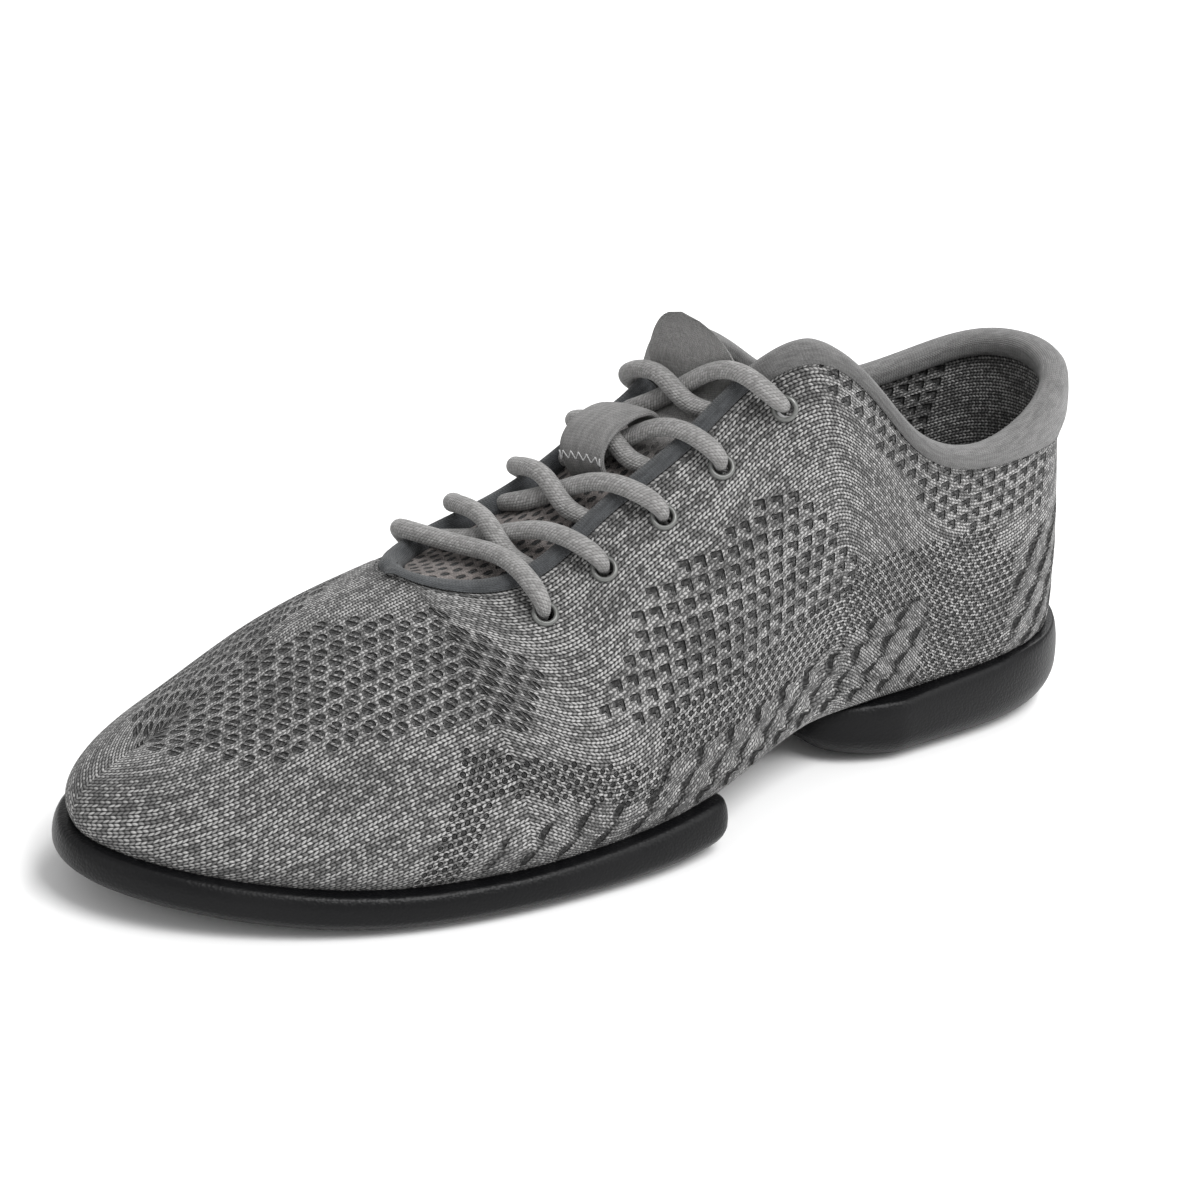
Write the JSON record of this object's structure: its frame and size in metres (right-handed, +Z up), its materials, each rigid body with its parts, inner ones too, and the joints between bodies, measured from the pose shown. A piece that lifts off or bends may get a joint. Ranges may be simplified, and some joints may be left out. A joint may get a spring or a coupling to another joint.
{
  "type": "dance sneaker",
  "caption": "Low knitted dance sneaker for the left foot, with a split rubber sole, a crescent-bound collar and crossed laces over a tongue.",
  "frame": {"origin": "centre of the bounding box's base, on the plane that the shoe stands on", "axes": "+X from heel to toe, +Y towards the outer (lateral) side, +Z up"},
  "size_m": [0.2792, 0.1038, 0.1168],
  "materials": {
    "knit": "matte",
    "rubber": "satin",
    "tape": "matte",
    "footbed": "matte",
    "binding": "matte",
    "throat_roll": "matte",
    "lace": "matte",
    "eyelet_metal": "satin"
  },
  "bodies": {
    "root": {"upper": "knit", "forefoot_sole": "rubber", "heel_sole": "rubber", "arch_tape": "tape", "insole": "footbed", "tongue": "knit", "collar_binding": "binding", "throat_binding": "throat_roll", "eyelet_lateral_1": "eyelet_metal", "eyelet_lateral_2": "eyelet_metal", "eyelet_lateral_3": "eyelet_metal", "eyelet_lateral_4": "eyelet_metal", "eyelet_lateral_5": "eyelet_metal", "eyelet_medial_1": "eyelet_metal", "eyelet_medial_2": "eyelet_metal", "eyelet_medial_3": "eyelet_metal", "eyelet_medial_4": "eyelet_metal", "eyelet_medial_5": "eyelet_metal", "lace_bar_1": "lace", "lace_cross_2": "lace", "lace_cross_3": "lace", "lace_cross_4": "lace", "lace_cross_5": "lace", "tongue_loop": "binding"}
  },
  "joints": []
}
